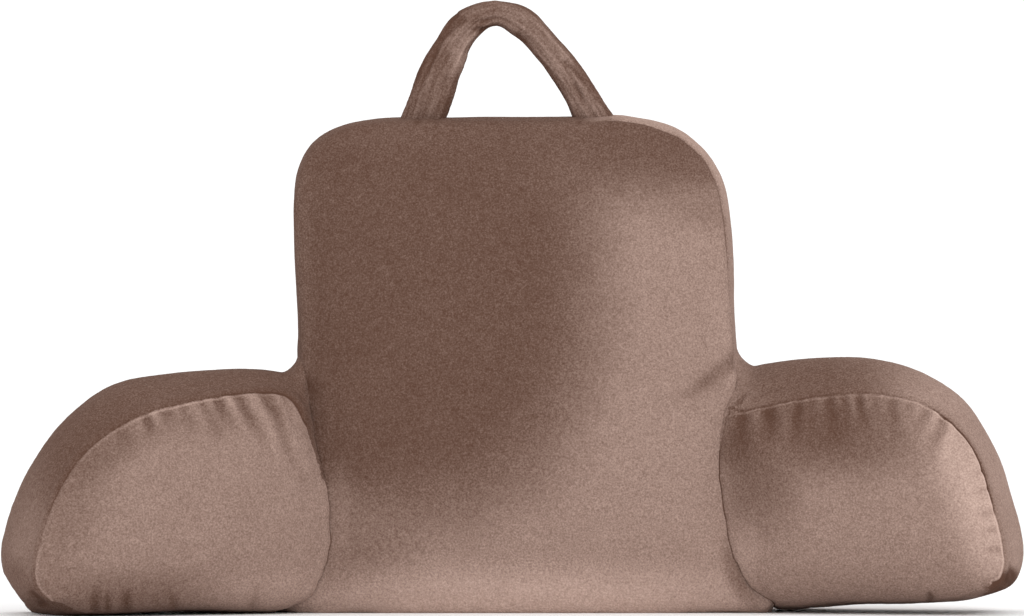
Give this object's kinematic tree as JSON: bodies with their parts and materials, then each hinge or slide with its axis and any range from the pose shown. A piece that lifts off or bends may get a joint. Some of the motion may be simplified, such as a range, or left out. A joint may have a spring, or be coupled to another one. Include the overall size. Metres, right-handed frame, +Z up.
{
  "type": "reading pillow with arms",
  "caption": "Upright plush backrest cushion that stands on its flat base, with a padded D-shaped armrest sewn to each side and a soft carry handle over the top edge.",
  "frame": {"origin": "centre of the pillow's plan box, on the surface that it stands on", "axes": "+X from the left arm to the right arm as seen from the sitter's side, -Y towards the sitter, +Z up"},
  "size_m": [0.9218, 0.321, 0.5585],
  "materials": {
    "plush": "matt short-pile plush, taupe, mottled by the lie of the pile",
    "plush_band": "the same plush on the boxing strips, slightly darker where the pile lies away",
    "plush_handle": "the same plush on the soft stuffed handle, creased along its length"
  },
  "bodies": {
    "root": {"back_cushion": "plush", "back_band": "plush_band", "arm_left": "plush", "arm_left_band": "plush_band", "arm_right": "plush", "arm_right_band": "plush_band", "handle": "plush_handle"}
  },
  "joints": []
}
